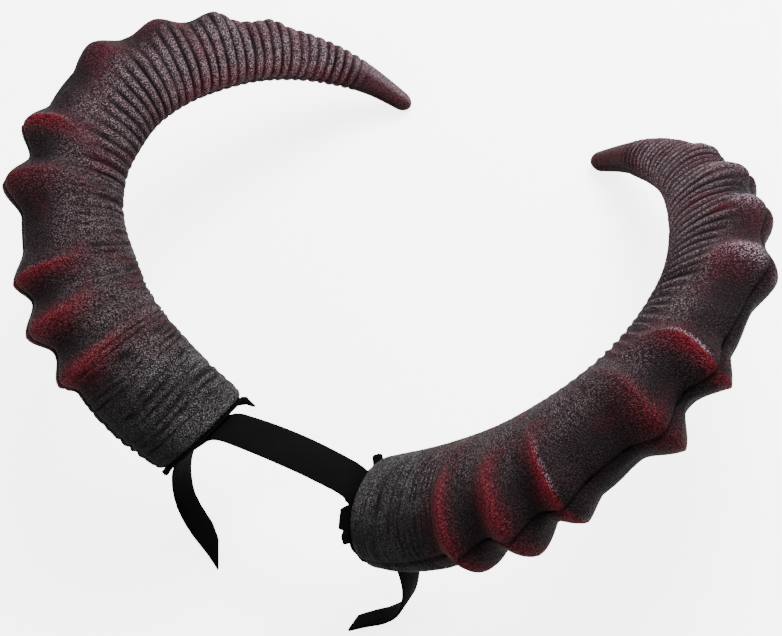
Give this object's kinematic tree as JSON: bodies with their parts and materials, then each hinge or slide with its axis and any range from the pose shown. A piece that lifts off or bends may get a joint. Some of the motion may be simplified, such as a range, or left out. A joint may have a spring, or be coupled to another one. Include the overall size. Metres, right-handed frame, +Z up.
{
  "type": "horn headband",
  "caption": "C-shaped fabric headband with a pair of long curled ibex horns of thin hollow foam, knobbed along the outer edge.",
  "frame": {"origin": "on the surface it lies on, under the middle of its bounding box", "axes": "+Z up, +X across from the left horn to the right horn of the picture, +Y from the headband towards the horn tips"},
  "size_m": [0.5458, 0.4302, 0.221],
  "materials": {
    "horn_foam": "embossed leathery foam, charcoal and maroon with red dry-brushed knobs",
    "plate_felt": "matte black soft sheet",
    "band_fabric": "matte black woven strip"
  },
  "bodies": {
    "root": {"headband": "band_fabric", "base_plate_left": "plate_felt", "base_plate_right": "plate_felt", "horn_left_upper_half": "horn_foam", "horn_left_lower_half": "horn_foam", "horn_right_upper_half": "horn_foam", "horn_right_lower_half": "horn_foam"}
  },
  "joints": []
}
